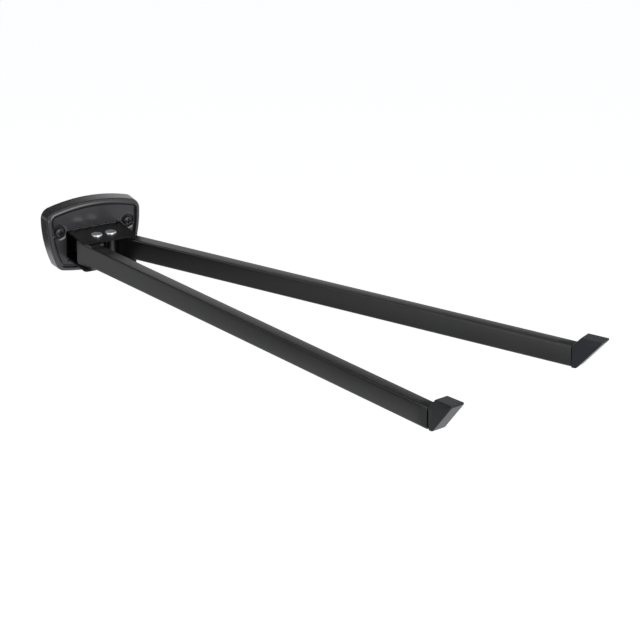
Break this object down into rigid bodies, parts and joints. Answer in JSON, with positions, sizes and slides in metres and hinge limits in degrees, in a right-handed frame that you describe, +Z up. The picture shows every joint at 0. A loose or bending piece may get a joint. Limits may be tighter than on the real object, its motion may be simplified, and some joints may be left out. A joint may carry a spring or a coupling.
{
  "type": "towel holder with swing arms",
  "caption": "Wall-held towel holder: rectangular tube arms with hooked end caps swing on vertical rivets in a steel bracket behind a moulded cover.",
  "frame": {"origin": "on the wall, midway between the two wall screws", "axes": "+Y into the wall along the screws, +Z up, +X to the right as seen from the room; the arms reach towards -Y"},
  "size_m": [0.2374, 0.4292, 0.0527],
  "materials": {
    "bracket_paint": "black powder coat, satin",
    "arm_paint": "black powder coat, satin",
    "cover_plastic": "moulded, fine satin",
    "cap_plastic": "moulded, satin",
    "screw_black": "black oxide",
    "rivet_zinc": "bright zinc plate",
    "washer_steel": "plain"
  },
  "bodies": {
    "bracket": {"wall_bracket": "bracket_paint", "cover": "cover_plastic", "screw_left": "screw_black", "screw_right": "screw_black", "rivet_left": "rivet_zinc", "rivet_right": "rivet_zinc", "washer_top_left": "washer_steel", "washer_top_right": "washer_steel", "washer_bottom_left": "washer_steel", "washer_bottom_right": "washer_steel"},
    "left_arm": {"left_fitting": "arm_paint", "left_spacer": "arm_paint", "left_tube": "arm_paint", "left_end_cap": "cap_plastic"},
    "right_arm": {"right_fitting": "arm_paint", "right_spacer": "arm_paint", "right_tube": "arm_paint", "right_end_cap": "cap_plastic"}
  },
  "joints": [
    {"name": "left_arm_swing", "type": "hinge", "parent": "bracket", "child": "left_arm", "pos_m": [-0.0054, -0.0275, -0.0109], "axis": [0, 0, 1], "range_deg": [-100.6, 8.4]},
    {"name": "right_arm_swing", "type": "hinge", "parent": "bracket", "child": "right_arm", "pos_m": [0.0054, -0.0275, -0.0109], "axis": [0, 0, 1], "range_deg": [-8.6, 62.3]}
  ]
}
